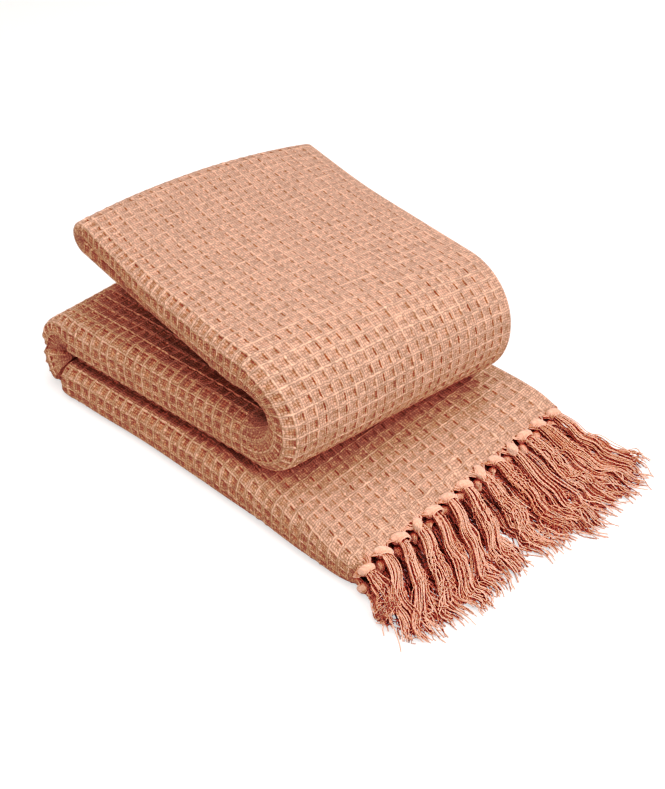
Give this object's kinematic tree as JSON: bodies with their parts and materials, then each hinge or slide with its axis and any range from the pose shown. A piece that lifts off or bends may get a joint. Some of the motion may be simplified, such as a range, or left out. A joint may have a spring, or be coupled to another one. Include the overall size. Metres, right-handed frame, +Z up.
{
  "type": "folded waffle weave cotton blanket",
  "caption": "Soft waffle weave throw with knotted fringe, quartered along its length and folded back and forth into a low stack, one fringed end lying out.",
  "frame": {"origin": "middle of the bounding box, on the floor under the folded blanket", "axes": "+X along the length of the cloth towards the fringed end that lies out, +Y from the closed long edge towards the open one, +Z up"},
  "size_m": [0.596, 0.381, 0.2221],
  "materials": {
    "waffle_cotton": "matte waffle weave cotton",
    "fringe_yarn": "matte spun cotton yarn"
  },
  "bodies": {
    "root": {"blanket": "waffle_cotton", "fringe_outer": "fringe_yarn", "fringe_tucked": "fringe_yarn"}
  },
  "joints": []
}
